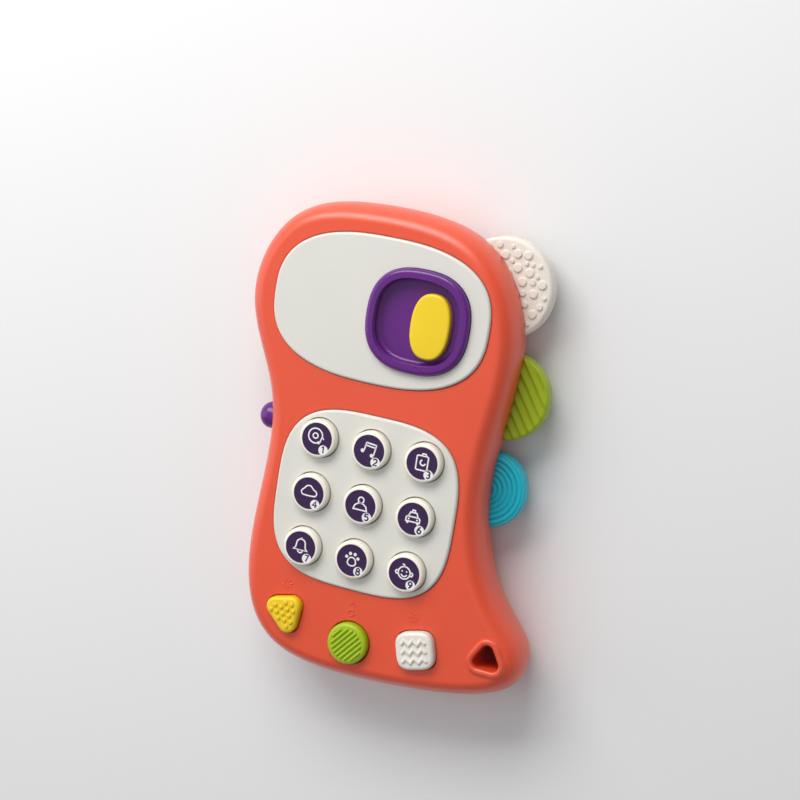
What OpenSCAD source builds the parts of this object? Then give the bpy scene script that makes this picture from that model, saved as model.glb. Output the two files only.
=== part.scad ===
// Toy cell phone: a two-shell rattle-shaped handset with nine keys, three shaped buttons,
// a side button, a sliding knob and three soft teether discs. It lies on its flat back, face up,
// with +Y towards the top of the phone. Places are measured from the middle key, and every
// sub-part is then moved by at_datum(), so that the origin is the middle of the housing's base.

/* [Housing] */
// Height of the parting line where the two shells meet
part_z = 15; // [14.8:0.1:15.2]
// Height of the flat front face
face_z = 24; // [23.8:0.1:24.2]
// Wall thickness of both shells
wall = 2; // [1.8:0.1:2.1]
// How far the front edge rounds inward
front_round = 5.75; // [5.7:0.05:5.8]
// How far the back edge rounds inward
back_round = 7; // [6.5:0.25:7.25]
// How far the two white panels stand above the front face
panel_rise = 0.9; // [0.6:0.1:1.2]

/* [Keys and buttons] */
// Distance between neighbouring keys
key_pitch = 18; // [17.6:0.1:18.2]
// Diameter of a key cap
key_d = 12.5; // [12:0.25:13]
// How far a key cap stands above its panel
key_rise = 2.6; // [2.2:0.1:3]
// How far a key or a button can be pressed
key_travel = 1.6; // [1.2:0.1:1.6]
// How far the shaped buttons stand above the front face
button_rise = 2.6; // [2.2:0.1:3]
// Gap round each key and button
key_gap = 0.3; // [0.2:0.05:0.4]

/* [Slider] */
// Half width and half height of the slider window
window_half = [14.2, 13.5]; // [13.2:0.1:14.4]
// Width of the raised rim round the slider window
bezel_rim = 2.9; // [2.6:0.1:3.2]
// Height of the top of the rim above the panel
bezel_rise = 2.1; // [1.8:0.1:2.4]
// How far the knob slides
slider_travel = 6; // [5:0.5:6.5]

/* [Teether discs] */
// Thickness of the discs
disc_t = 6; // [5.5:0.25:6.5]
// Radii of the bumpy, ridged and ringed discs
disc_r = [16.2, 14, 12.4]; // [12:0.1:16.4]

/* [Batteries] */
// Diameter of one AAA cell
cell_d = 10.5; // [10.3:0.1:10.5]
// Length of one AAA cell with its contact button
cell_l = 44.5; // [44:0.1:44.5]

/* [Hidden] */
$fn = 48;
over = 1;                  // how far a cut runs past the face that it opens

// Control points of the housing's outline, clockwise, measured from the middle key
outline_control = [[43, 63], [38, 31], [36, 6], [43.5, -21], [60, -35], [59, -48], [45, -55], [15, -59],
                   [-27, -60], [-41, -37], [-39, -5], [-36, 29], [-56, 56], [-44, 91], [-12, 95], [26, 93]];
outline = spline(outline_control, 6);
housing_hub = [6, -8];                  // a place from which the whole outline is in sight
middle = [(max([for (p = outline) p.x]) + min([for (p = outline) p.x])) / 2,
          (max([for (p = outline) p.y]) + min([for (p = outline) p.y])) / 2];

skin_z = face_z - wall;                 // inside of the front wall
panel_top = face_z + panel_rise;
flange_t = 1.2;                         // thickness of the hidden flanges that hold panels and keys
round_step = 15;                        // degrees between the rings of a rounded shell edge
front_inner_round = 2;                  // how far the cavities of the two shells round inward
back_inner_round = 5.5;

face_centre = [-4.7, 61.8];
face_shape = superellipse([36.3, 23.3], 2.6, 72);
pad_shape = superellipse([30.6, 28.6], 3.25, 72);

window_centre = [8.4, 60.9];
window_shape = superellipse(window_half, 2.5, 56);
bezel_shape = superellipse(window_half + [bezel_rim, bezel_rim], 2.5, 56);
pocket_top = panel_top - 1.6;           // the plate runs in a pocket in the back of the upper panel
plate_top = pocket_top - 0.1;
plate_t = 1.4;
knob_offset = 4.3;                      // from the window's centre to the knob at rest
knob_top = plate_top + 2.9;

key_top = panel_top + key_rise;
key_stem_z = board_top() + 0.7 + key_travel + 0.3;   // lowest point of a key at rest

triangle_at = [-21, -41.4];
round_at = [2.1, -45.9];
square_at = [25, -42.4];
triangle_shape = rounded_triangle(3.5, 3.2, [52, -64, 156]);
square_shape = turned(superellipse([6.35, 6.15], 3.4, 48), 15);
round_r = 6.75;
button_top = face_z + button_rise;

side_y = 19.6;
side_x = -43.5;                         // tip of the side button
side_r = 4.4;

hole_at = [48.1, -39.6];                // lanyard hole in the toe
hole_shape = rounded_triangle(2.6, 2.1, [90, -30, 210]);

disc_at = [[29.5, 74.7], [36.2, 41.3], [35.4, 10.9]];
disc_z = 8;                             // height of the middle of the discs
disc_turn = [28, 0, 0];                 // which way each disc faces out of the housing
disc_tongue = [3.2, 4.2, 4.8];          // how far each disc's tongue runs back inside its centre

shell_screw_at = [[-34, 83], [15.5, 85.6], [-35, 33], [28.6, 26], [-26.7, -47.6], [37.5, -50]];
board_screw_at = [[-21, 32.5], [20, 32.5], [-9.5, -33.2], [13.5, -34]];

cell_gap = 11.2;                        // distance between neighbouring cells
bay = [[-34, 41.5], [16, 75.1]];        // inside of the battery compartment
bay_top = 13.9;
bay_wall = 1.6;
door = [[-36, 40], [24, 76.6]];
door_t = 2.6;
door_seat = 2.8;                        // depth of the recess that the door lies in
door_screw_at = [20, 58.3];
cell_z = door_seat + 0.3 + cell_d / 2;

speaker_at = [0, -8];
speaker_r = 18.2;

// ---------------------------------------------------------------- outlines and lofts

// Smooth closed curve (uniform cubic B-spline) with m points for each control point
function spline(c, m) = let (n = len(c))
    [for (i = [0:n - 1], j = [0:m - 1]) let (t = j / m, u = 1 - t)
        (u ^ 3 * c[i] + (3 * t ^ 3 - 6 * t ^ 2 + 4) * c[(i + 1) % n]
         + (3 * u ^ 3 - 6 * u ^ 2 + 4) * c[(i + 2) % n] + t ^ 3 * c[(i + 3) % n]) / 6];

// Rounded rectangle of half sizes h; a larger exponent e has tighter corners
function superellipse(h, e, n) =
    [for (i = [0:n - 1]) let (w = -360 * i / n)
        (abs(cos(w) / h.x) ^ e + abs(sin(w) / h.y) ^ e) ^ (-1 / e) * [cos(w), sin(w)]];

// Triangle with corners of radius r round points at the distance d in three directions, given clockwise
function rounded_triangle(d, r, directions) = let (c = [for (w = directions) d * [cos(w), sin(w)]])
    [for (k = [0:2]) let (s = c[k] - c[(k + 2) % 3], t = c[(k + 1) % 3] - c[k], first = atan2(s.x, -s.y),
                          bend = (first - atan2(t.x, -t.y) + 360) % 360)
        each [for (j = [0:8]) c[k] + r * [cos(first - bend * j / 8), sin(first - bend * j / 8)]]];

function turned(p, a) = [for (q = p) [q.x * cos(a) - q.y * sin(a), q.x * sin(a) + q.y * cos(a)]];

// The outline p moved inward by d along its own normals, at the height z
function level(p, d, z) = let (n = len(p))
    [for (i = [0:n - 1]) let (t = p[(i + 1) % n] - p[(i + n - 1) % n], q = p[i] - d * [-t.y, t.x] / norm(t))
        [q.x, q.y, z]];

// Solid through rings of equal length, given from the lowest to the highest. Each end is a fan of triangles
// round hub, a point that sees the whole outline, or round the ring's middle.
// With closed, the last ring joins the first, which makes a frame with a hole.
module loft(rings, closed = false, hub = undef) {
    n = len(rings[0]);
    m = len(rings);
    sides = [for (k = [0:m - (closed ? 1 : 2)], i = [0:n - 1])
        let (a = k * n, b = ((k + 1) % m) * n, j = (i + 1) % n) each [[a + i, a + j, b + j], [a + i, b + j, b + i]]];
    hubs = closed ? [] : [for (r = [rings[0], rings[m - 1]])
        is_undef(hub) ? [for (p = r) 1] * r / n : [hub.x, hub.y, r[0].z]];
    ends = closed ? [] : [for (i = [0:n - 1]) let (j = (i + 1) % n, top = (m - 1) * n)
        each [[j, i, m * n], [top + i, top + j, m * n + 1]]];
    polyhedron(points = concat([for (r = rings) each r], hubs), faces = concat(sides, ends), convexity = 10);
}

// Plate with the outline p, grown by g, between two heights
module prism(p, low, high, g = 0) {
    translate([0, 0, low]) linear_extrude(height = high - low)
        polygon([for (q = level(p, -g, low)) [q.x, q.y]]);
}

// Plate whose top edge is rounded with the radius r
module soft_prism(p, low, high, r) {
    loft(concat([level(p, 0, low)],
                [for (a = [0:22.5:90]) level(p, r * (1 - cos(a)), high - r + r * sin(a))]));
}

// Round wire with eight sides along the points p, which never runs along x
module wire(p, d) {
    n = len(p);
    sides = 8;
    rings = [for (i = [0:n - 1])
        let (t = p[min(i + 1, n - 1)] - p[max(i - 1, 0)], f = t / norm(t),
             a = cross(f, [1, 0, 0]) / norm(cross(f, [1, 0, 0])), b = cross(f, a))
        [for (k = [0:sides - 1]) p[i] + d / 2 * (a * cos(360 * k / sides) - b * sin(360 * k / sides))]];
    loft(rings);
}

module at_datum() {
    translate([-middle.x, -middle.y, 0]) children();
}

module at(p, z = 0) {
    translate([p.x, p.y, z]) children();
}

module box(low, high, z_low, z_high) {
    translate([low.x, low.y, z_low]) cube([high.x - low.x, high.y - low.y, z_high - z_low]);
}

function board_top() = 16.6;

// ---------------------------------------------------------------- housing

module front_outer() {
    loft([for (a = [0:round_step:90])
        level(outline, front_round * (1 - cos(a)), part_z + (face_z - part_z) * sin(a))], hub = housing_hub);
}

module front_cavity() {
    loft(concat([level(outline, wall, part_z - over)],
                [for (a = [0:18:90])
                    level(outline, wall + front_inner_round * (1 - cos(a)), part_z + (skin_z - part_z) * sin(a))]),
         hub = housing_hub);
}

module rear_outer() {
    loft([for (a = [90:-round_step:0])
        level(outline, back_round * (1 - cos(a)), part_z * (1 - sin(a)))], hub = housing_hub);
}

module rear_cavity() {
    loft(concat([for (a = [90:-18:0])
                    level(outline, wall + back_inner_round * (1 - cos(a)), part_z - (part_z - wall) * sin(a))],
                [level(outline, wall, part_z + over)]), hub = housing_hub);
}

// Round opening that the two shells leave for the side button
module side_button_opening() {
    translate([side_x, side_y, part_z]) rotate([0, 90, 0]) cylinder(r = side_r + key_gap, h = 12);
}

module front_shell() {
    color("orangered") at_datum() difference() {
        union() {
            front_outer();
            at(hole_at) lanyard_lip();
        }
        difference() {
            front_cavity();
            for (p = shell_screw_at) at(p, part_z - 2 * over) cylinder(r = 2.6, h = face_z - part_z + over);
            for (p = board_screw_at) at(p, board_top()) cylinder(r = 2.4, h = face_z - board_top());
            at(hole_at) prism(hole_shape, part_z - 2 * over, face_z - over, 1.6);
        }
        for (p = shell_screw_at) at(p, part_z - over) cylinder(r = 1.45, h = 6.5);
        for (p = board_screw_at) at(p, board_top() - over) cylinder(r = 1, h = 5);
        at(face_centre) prism(face_shape, skin_z - over, face_z + over, 0.1);
        prism(pad_shape, skin_z - over, face_z + over, 0.1);
        at(triangle_at) prism(triangle_shape, skin_z - over, face_z + over, key_gap);
        at(round_at, skin_z - over) cylinder(r = round_r + key_gap, h = wall + 2 * over);
        at(square_at) prism(square_shape, skin_z - over, face_z + over, key_gap);
        at(hole_at) prism(hole_shape, part_z - over, face_z + 2 * over);
        side_button_opening();
    }
}

// Raised rounded rim round the lanyard hole
module lanyard_lip() {
    loft([level(hole_shape, -2, face_z - 1.5), level(hole_shape, -1.9, face_z + 0.1), level(hole_shape, -1.4, face_z + 0.6),
          level(hole_shape, -0.8, face_z + 0.8), level(hole_shape, -0.2, face_z + 0.5)]);
}

module rear_shell() {
    color("orangered") at_datum() difference() {
        rear_outer();
        difference() {
            rear_cavity();
            for (p = shell_screw_at) at(p, over) cylinder(r = 3.6, h = part_z + over);
            box(bay[0] - [bay_wall, bay_wall], bay[1] + [bay_wall, bay_wall], over, part_z - 0.2);
            box(door[0] - [3, 1.5], door[1] + [1.5, 1.5], over, door_seat + 1.6);
            at(door_screw_at) cylinder(r = 3.5, h = 11.5);
            at(hole_at) prism(hole_shape, over, part_z + 2 * over, 2.6);
            at(speaker_at, over) difference() {
                cylinder(r = speaker_r + 1.8, h = 4);
                translate([0, 0, -over]) cylinder(r = speaker_r + 0.2, h = 6);
            }
            box([-31.6, 17], [-28.4, 22.2], over, part_z - 3);
        }
        for (p = shell_screw_at) {
            at(p, -over) cylinder(r = 3, h = 9 + over);
            at(p, 8) cylinder(r = 1.6, h = part_z);
        }
        box(bay[0], bay[1], -over, bay_top);
        box(door[0], door[1], -over, door_seat);
        door_tabs(0.25);
        at(door_screw_at, 2) cylinder(r = 1.3, h = 8.5);
        at(hole_at) loft([level(hole_shape, -1, -over), level(hole_shape, -1, 1), level(hole_shape, 0, part_z + over)]);
        at(speaker_at) speaker_grille();
        side_button_opening();
        for (i = [0:2]) disc_body(i, 0.1);
    }
}

// Round sound holes: one in the middle, then rings of 6 and 12
module speaker_grille() {
    for (ring = [0:2], i = [0:max(0, 6 * ring - 1)])
        rotate(60 * i / max(1, ring)) translate([4.6 * ring, 0, -over]) cylinder(r = 1, h = wall + 2 * over);
}

module shell_screws() {
    color("silver") at_datum() for (p = shell_screw_at) at(p) {
        difference() {
            translate([0, 0, 7]) cylinder(r = 2.7, h = 2);
            for (a = [0, 90]) translate([0, 0, 7.4]) rotate(a) cube([3.2, 0.7, 1.2], center = true);
        }
        translate([0, 0, 9]) cylinder(r = 1.4, h = 10.5);
    }
}

// ---------------------------------------------------------------- upper panel and slider

// Room that the slider plate sweeps as it moves, grown by g
module slider_path(g, low, high) {
    hull() {
        at(window_centre + [-slider_travel, 0]) prism(window_shape, low, high, g);
        at(window_centre + [slider_travel, 0]) prism(window_shape, low, high, g);
    }
}

module face_panel() {
    color("whitesmoke") at_datum() difference() {
        at(face_centre) union() {
            soft_prism(face_shape, skin_z, panel_top, 1);
            prism(face_shape, skin_z - flange_t, skin_z, 1.6);
        }
        at(face_centre) prism(face_shape, skin_z - flange_t - over, skin_z, -2);
        slider_path(0.9, skin_z - flange_t - over, pocket_top);
        post_notches(skin_z - flange_t - over, flange_t + over);
        at(window_centre) prism(bezel_shape, skin_z - over, panel_top + over, 0.1);
    }
}

// Rounded rim round the slider window
module slider_bezel() {
    top = panel_top + bezel_rise;
    color("indigo") at_datum() at(window_centre)
        loft([level(bezel_shape, 0, pocket_top), level(bezel_shape, 0, top - 1.4), level(bezel_shape, 0.4, top - 0.5),
              level(bezel_shape, 1.2, top), level(window_shape, -0.8, top), level(window_shape, -0.1, top - 0.8),
              level(window_shape, 0, top - 1.8), level(window_shape, 0, pocket_top)], closed = true);
}

// Moving floor of the window, long enough to close it at both ends of its travel
module slider_plate() {
    color("indigo") at_datum() hull() {
        at(window_centre) prism(window_shape, plate_top - plate_t, plate_top, 0.4);
        at(window_centre + [slider_travel, 0]) prism(window_shape, plate_top - plate_t, plate_top, 0.4);
    }
}

module slider_knob() {
    color("gold") at_datum() at(window_centre + [knob_offset, -0.8])
        soft_prism(superellipse([6.5, 10.4], 2.4, 48), plate_top, knob_top, 1);
}

// Tray behind the panel that the plate runs in
module slider_guide() {
    low = window_centre + [-slider_travel - 16, -16.5];
    high = window_centre + [15, 16.5];
    color("gainsboro") at_datum() difference() {
        intersection() {
            box(low, high, skin_z - 3.3, skin_z);
            at(face_centre) prism(face_shape, skin_z - 4, skin_z + over, -2.1);
        }
        slider_path(0.8, plate_top - plate_t - 0.2, skin_z + over);
        box(low + [7, 7], high - [7, 7], skin_z - 4, skin_z);
    }
}

// Slide switch in the tray's opening that the plate's underside trips
module slider_switch() {
    color("dimgray") at_datum() at(window_centre + [-4, 0]) {
        box([-4.5, -2.5], [4.5, 2.5], part_z + 0.2, skin_z - 3.4);
        box([-0.9, -0.9], [0.9, 0.9], skin_z - 3.4, plate_top - plate_t - 0.1);
    }
}

// ---------------------------------------------------------------- keypad

key_at = [for (row = [1:-1:-1], column = [-1:1]) key_pitch * [column, row]];

module keypad_panel() {
    color("whitesmoke") at_datum() difference() {
        union() {
            soft_prism(pad_shape, skin_z, panel_top, 1);
            prism(pad_shape, skin_z - flange_t, skin_z, 1.6);
        }
        prism(pad_shape, skin_z - flange_t - over, skin_z, -1.6);
        for (p = key_at) at(p, skin_z - flange_t - over) cylinder(r = key_d / 2 + 1.4, h = flange_t + over);
        for (p = key_at) at(p, skin_z - over) cylinder(r = key_d / 2 + key_gap, h = panel_top - skin_z + 2 * over);
    }
}

// Round key: rounded cap, collar that stops it behind the panel, and a stem onto the rubber mat
module key(p) {
    r = key_d / 2;
    edge = 1.1;
    color("ivory") at_datum() at(p) rotate_extrude()
        polygon(concat([[0, key_stem_z], [3, key_stem_z], [3, skin_z - 1.3], [r + 1, skin_z - 1.3], [r + 1, skin_z - 0.2],
                        [r, skin_z - 0.2]],
                       [for (a = [0:15:90]) [r - edge + edge * cos(a), key_top - edge + edge * sin(a)]],
                       [[0, key_top]]));
}

// Shaped button through the shell: cap, collar and stem
module button(p, shape) {
    at(p) {
        soft_prism(shape, skin_z - 0.9, button_top, 1.2);
        prism(shape, skin_z - 1.3, skin_z - 0.3, 1);
        translate([0, 0, key_stem_z]) cylinder(r = 2.6, h = skin_z - 1.1 - key_stem_z);
    }
}

module triangle_button() {
    color("gold") at_datum() button(triangle_at, triangle_shape);
}

module round_button() {
    edge = 1.2;
    color("yellowgreen") at_datum() at(round_at) rotate_extrude()
        polygon(concat([[0, key_stem_z], [2.6, key_stem_z], [2.6, skin_z - 1.3], [round_r + 1, skin_z - 1.3],
                        [round_r + 1, skin_z - 0.3], [round_r, skin_z - 0.3]],
                       [for (a = [0:15:90]) [round_r - edge + edge * cos(a), button_top - edge + edge * sin(a)]],
                       [[0, button_top]]));
}

module square_button() {
    color("whitesmoke") at_datum() button(square_at, square_shape);
}

// Silicone mat with one dome under each key and button
module key_mat() {
    base = board_top();
    color("lightgray") at_datum() {
        box([-26, -25], [26, 25], base, base + 0.7);
        difference() {
            box([-26, -50], [31, -37], base, base + 0.7);
            post_notches(base - over, 3);
        }
        for (p = concat(key_at, [triangle_at, round_at, square_at])) at(p, base + 0.7) rotate_extrude()
            polygon([[0, 0], [4.6, 0], [3.4, key_travel - 0.5], [3.4, key_travel + 0.2], [0, key_travel + 0.2]]);
    }
}

// Room round the housing's screw posts
module post_notches(low, h) {
    for (p = shell_screw_at) at(p, low) cylinder(r = 3, h = h);
}

module circuit_board() {
    color("darkgreen") at_datum() difference() {
        union() {
            box([-27.5, -30], [27.5, 29], board_top() - 1.6, board_top());
            box([-25, 28], [24, 36], board_top() - 1.6, board_top());
            box([-21, -52], [30, -29], board_top() - 1.6, board_top());
            box([-27.5, -45], [-20, -29], board_top() - 1.6, board_top());
        }
        for (p = board_screw_at) at(p, board_top() - 2) cylinder(r = 1.1, h = 3);
        post_notches(board_top() - 2, 3);
    }
}

// Covered sound chip, two capacitors, a resonator and the wire sockets on the board's back
module board_components() {
    low = board_top() - 1.6;
    color("black") at_datum() {
        translate([0, 18, low]) mirror([0, 0, 1]) rotate_extrude()
            polygon([[0, 0], [5, 0], [4.4, 0.7], [3, 1.2], [0, 1.4]]);
        for (x = [-12, 13]) translate([x, 19, low - 5.5]) cylinder(r = 2.5, h = 5.5);
        box([-4, 26], [4, 29], low - 2.2, low);
        box([-22, -34], [-16, -31], low - 3, low);
    }
}

module board_screws() {
    color("silver") at_datum() for (p = board_screw_at) at(p) {
        translate([0, 0, board_top() - 3.1]) cylinder(r = 2, h = 1.5);
        translate([0, 0, board_top() - 1.6]) cylinder(r = 0.95, h = 5);
    }
}

// ---------------------------------------------------------------- side button

module side_button() {
    color("indigo") at_datum() translate([0, side_y, part_z]) rotate([0, 90, 0]) rotate_extrude()
        polygon(concat([for (a = [0:15:90]) [side_r * sin(a), side_x + 4 - 4 * cos(a)]],
                       [[side_r, -35.2], [side_r + 1, -35.2], [side_r + 1, -34.2], [0, -34.2]]));
}

module side_switch() {
    color("dimgray") at_datum() {
        box([-31.8, side_y - 3], [-28.4, side_y + 3], part_z - 3, part_z + 3);
        translate([-32.5, side_y, part_z]) rotate([0, 90, 0]) cylinder(r = 1.6, h = 0.7);
    }
}

// ---------------------------------------------------------------- teether discs

// Disc with a rounded rim, cut straight across inside the housing
module disc_body(i, g) {
    r = disc_r[i] + g;
    half = disc_t / 2 + g;
    edge = 1.2;
    at(disc_at[i], disc_z) rotate(disc_turn[i]) difference() {
        rotate_extrude()
            polygon(concat([[0, -half]],
                           [for (a = [-90:22.5:90])
                               [r - edge + edge * cos(a), sign(a) * (half - edge) + edge * sin(a)]],
                           [[0, half]]));
        translate([-2 * r - disc_tongue[i] - g, -2 * r, -half - over]) cube([2 * r, 4 * r, 2 * half + 2 * over]);
    }
}

module bump_teether() {
    color("whitesmoke") at_datum() disc_body(0, 0);
}

module ridge_teether() {
    color("yellowgreen") at_datum() disc_body(1, 0);
}

module ring_teether() {
    color("darkturquoise") at_datum() disc_body(2, 0);
}

// ---------------------------------------------------------------- speaker

module speaker_frame() {
    color("gray") at_datum() at(speaker_at) {
        rotate_extrude()
            polygon([[15.5, wall], [speaker_r, wall], [speaker_r, 3], [16.6, 3], [9.6, 7], [8.5, 7], [8.5, 10.5],
                     [0, 10.5], [0, 6.6], [8.6, 6.6], [15.5, 2.6]]);
        box([-14, -3], [-10.5, 3], 5.6, 6.8);
    }
}

module speaker_cone() {
    color("black") at_datum() at(speaker_at) rotate_extrude()
        polygon([[0, 4.9], [3, 4.9], [14.6, 2.1], [15.3, 2.1], [15.3, 2.6], [14.9, 2.6], [3.2, 5.6], [0, 5.6]]);
}

// ---------------------------------------------------------------- battery compartment

// Two tongues on the door's left edge, grown by g for their pockets
module door_tabs(g) {
    for (y = [48, 68])
        box([door[0].x - 1.5 - g, y - 3 - g], [door[0].x + 1, y + 3 + g], 1.2 - g, door_t + g);
}

module battery_door() {
    color("orangered") at_datum() difference() {
        union() {
            box(door[0] + [0.25, 0.25], door[1] - [0.25, 0.25], 0, door_t);
            door_tabs(0);
        }
        at(door_screw_at, -over) cylinder(r = 3, h = over + 2);
        at(door_screw_at) cylinder(r = 1.5, h = 4);
        for (i = [0:3]) box([door[0].x + 5 + 2.4 * i, 50], [door[0].x + 6 + 2.4 * i, 66], -over, 0.5);
    }
}

module battery_door_screw() {
    color("silver") at_datum() at(door_screw_at) {
        difference() {
            translate([0, 0, 0.4]) cylinder(r = 2.7, h = 1.6);
            for (a = [0, 90]) translate([0, 0, 0.7]) rotate(a) cube([3.2, 0.7, 1], center = true);
        }
        translate([0, 0, 2]) cylinder(r = 1.25, h = 7.5);
    }
}

cell_y = [for (i = [-1:1]) (bay[0].y + bay[1].y) / 2 + i * cell_gap];
cell_turned = [false, true, false];

// One AAA cell; a turned cell has its positive end on the left
module battery(i) {
    button_l = 1.2;
    color("royalblue") at_datum()
        translate([(bay[0].x + bay[1].x) / 2, cell_y[i], cell_z]) mirror([cell_turned[i] ? 1 : 0, 0, 0])
        translate([bay[0].x / 2 - bay[1].x / 2 + 4.8, 0, 0]) rotate([0, 90, 0]) {
            cylinder(r = cell_d / 2, h = cell_l - button_l);
            translate([0, 0, cell_l - button_l]) cylinder(r = 1.9, h = button_l);
        }
}

// Conical spring on a plate at the negative end of each cell
module battery_springs() {
    turns = 3.5;
    steps = 10;
    color("silver") at_datum() for (i = [0:2])
        translate([(bay[0].x + bay[1].x) / 2, cell_y[i], cell_z]) mirror([cell_turned[i] ? 1 : 0, 0, 0])
        translate([bay[0].x / 2 - bay[1].x / 2, 0, 0]) {
            translate([0.1, -4.5, -4.2]) cube([0.5, 9, 8.4]);
            wire([for (k = [0:turns * steps]) let (w = 360 * k / steps, r = 3.9 - 1.9 * k / (turns * steps))
                [0.9 + 3.5 * k / (turns * steps), r * cos(w), r * sin(w)]], 0.6);
        }
}

tag_x = [-32.5, 11];                    // left edges of the two wire tags

// Flat contact at the positive end of each cell, and two tags for the wires
module battery_contacts() {
    color("silver") at_datum() {
        for (i = [0:2])
            translate([(bay[0].x + bay[1].x) / 2, cell_y[i], cell_z]) mirror([cell_turned[i] ? 1 : 0, 0, 0])
            translate([bay[1].x / 2 - bay[0].x / 2 - 0.6, -4.5, -4.2]) cube([0.5, 9, 8.4]);
        for (x = tag_x) box([x, bay[0].y - bay_wall - 0.6], [x + 3, bay[0].y - bay_wall], 8, 12);
    }
}

module battery_wires() {
    start_y = bay[0].y - bay_wall - 0.6;
    low = board_top() - 1.6;
    color("crimson") at_datum() {
        wire([[tag_x[0] + 1.5, start_y, 10], [tag_x[0] + 1.5, start_y - 0.8, 10], [-30.2, 37, 9.6], [-26, 33.4, 8.6],
              [-20.5, 30.6, 8.8], [-16.5, 28.4, 10.6], [-15, 27.6, low - 1.2], [-15, 27.6, low]], 1.2);
        wire([[tag_x[1] + 1.5, start_y, 10], [tag_x[1] + 1.5, start_y - 0.8, 10], [12.3, 37, 9.6], [11.6, 33.4, 8.6],
              [10.6, 30.6, 8.8], [9.2, 28.4, 10.6], [8.6, 27.6, low - 1.2], [8.6, 27.6, low]], 1.2);
    }
}

module speaker_wires() {
    low = board_top() - 1.6;
    color("black") at_datum() {
        wire([[-12.4, -9.6, 6.8], [-12.4, -9.6, 7.6], [-13, -10.1, 9.2], [-16.6, -12.8, 12], [-17.4, -13.4, 13.8],
              [-17.4, -13.4, low]], 1.2);
        wire([[-12.4, -6.4, 6.8], [-12.4, -6.4, 7.6], [-13, -6.2, 9.2], [-17.8, -4.4, 12], [-18.6, -4.2, 13.8],
              [-18.6, -4.2, low]], 1.2);
    }
}

front_shell();
rear_shell();
face_panel();
slider_bezel();
slider_plate();
slider_knob();
slider_guide();
slider_switch();
keypad_panel();
key(key_at[0]);  // key_1
key(key_at[1]);  // key_2
key(key_at[2]);  // key_3
key(key_at[3]);  // key_4
key(key_at[4]);  // key_5
key(key_at[5]);  // key_6
key(key_at[6]);  // key_7
key(key_at[7]);  // key_8
key(key_at[8]);  // key_9
triangle_button();
round_button();
square_button();
side_button();
side_switch();
key_mat();
circuit_board();
board_components();
board_screws();
bump_teether();
ridge_teether();
ring_teether();
speaker_frame();
speaker_cone();
battery_door();
battery_door_screw();
battery(0);  // battery_1
battery(1);  // battery_2
battery(2);  // battery_3
battery_springs();
battery_contacts();
shell_screws();
battery_wires();
speaker_wires();
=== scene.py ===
import math
import random

import bmesh
import bpy
import numpy as np
from mathutils import Euler, Matrix, Vector

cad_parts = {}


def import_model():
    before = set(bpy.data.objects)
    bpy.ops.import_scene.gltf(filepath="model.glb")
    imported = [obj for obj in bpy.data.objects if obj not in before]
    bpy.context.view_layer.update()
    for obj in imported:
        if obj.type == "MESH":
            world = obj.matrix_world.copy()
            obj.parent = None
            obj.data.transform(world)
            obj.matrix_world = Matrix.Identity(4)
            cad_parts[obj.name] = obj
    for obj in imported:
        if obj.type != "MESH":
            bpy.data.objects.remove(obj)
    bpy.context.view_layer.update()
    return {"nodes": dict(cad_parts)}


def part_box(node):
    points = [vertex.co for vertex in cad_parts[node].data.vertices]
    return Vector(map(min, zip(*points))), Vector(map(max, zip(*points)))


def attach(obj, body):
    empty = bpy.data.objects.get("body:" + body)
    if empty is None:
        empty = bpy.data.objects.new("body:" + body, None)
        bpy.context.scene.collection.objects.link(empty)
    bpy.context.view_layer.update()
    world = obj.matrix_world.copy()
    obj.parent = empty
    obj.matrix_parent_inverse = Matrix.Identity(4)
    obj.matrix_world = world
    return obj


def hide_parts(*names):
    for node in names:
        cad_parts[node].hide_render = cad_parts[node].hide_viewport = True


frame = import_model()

# Toy cell phone. Lengths are millimetres measured from the middle key, with z above the flat back,
# as in the CAD source; world() turns them into the row frame.
MM = 0.001
key5_low, key5_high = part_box("key_5")
DATUM = (key5_low + key5_high) / 2
KEY_TOP = key5_high.z / MM
PANEL_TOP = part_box("keypad_panel")[1].z / MM
BUTTON_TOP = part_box("round_button")[1].z / MM
PART_Z = 15.0
FACE_Z = 24.0
WALL = 2.0
SKIN_Z = FACE_Z - WALL
FRONT_ROUND = 5.75
BACK_ROUND = 7.0
KEY_PITCH = 18.0
KEY_R = 6.25
KEY_GAP = 0.3

OUTLINE = [(43, 63), (38, 31), (36, 6), (43.5, -21), (60, -35), (59, -48), (45, -55), (15, -59),
           (-27, -60), (-41, -37), (-39, -5), (-36, 29), (-56, 56), (-44, 91), (-12, 95), (26, 93)]
FACE_AT, FACE_HALF = (-4.7, 61.8), (36.3, 23.3)
PAD_HALF = (30.6, 28.6)
WINDOW_AT, WINDOW_HALF, BEZEL_RIM, TRAVEL = (8.4, 60.9), (14.2, 13.5), 2.9, 6.0
POCKET_TOP = PANEL_TOP - 1.6
KNOB_AT = (12.7, 60.1)
TRIANGLE_AT, ROUND_AT, SQUARE_AT = (-21.0, -41.4), (2.1, -45.9), (25.0, -42.4)
ROUND_R, SQUARE_TURN = 6.75, 15
SIDE_Y, SIDE_R = 19.6, 4.4
HOLE_AT = (48.1, -39.6)
DISC_AT = [(29.5, 74.7), (36.2, 41.3), (35.4, 10.9)]
DISC_R = [16.2, 14.0, 12.4]
DISC_T, DISC_EDGE, DISC_Z = 6.0, 1.2, 8.0
DISC_TURN = [28, 0, 0]
DISC_TONGUE = [3.2, 4.2, 4.8]
SCREWS_AT = [(-34, 83), (15.5, 85.6), (-35, 33), (28.6, 26), (-26.7, -47.6), (37.5, -50)]
DOOR_LOW, DOOR_HIGH, DOOR_SEAT, DOOR_T, DOOR_GAP = (-36, 40), (24, 76.6), 2.8, 2.6, 0.25
BAY_LOW, BAY_HIGH, BAY_TOP, BAY_WALL = (-34, 41.5), (16, 75.1), 13.9, 1.6
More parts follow.
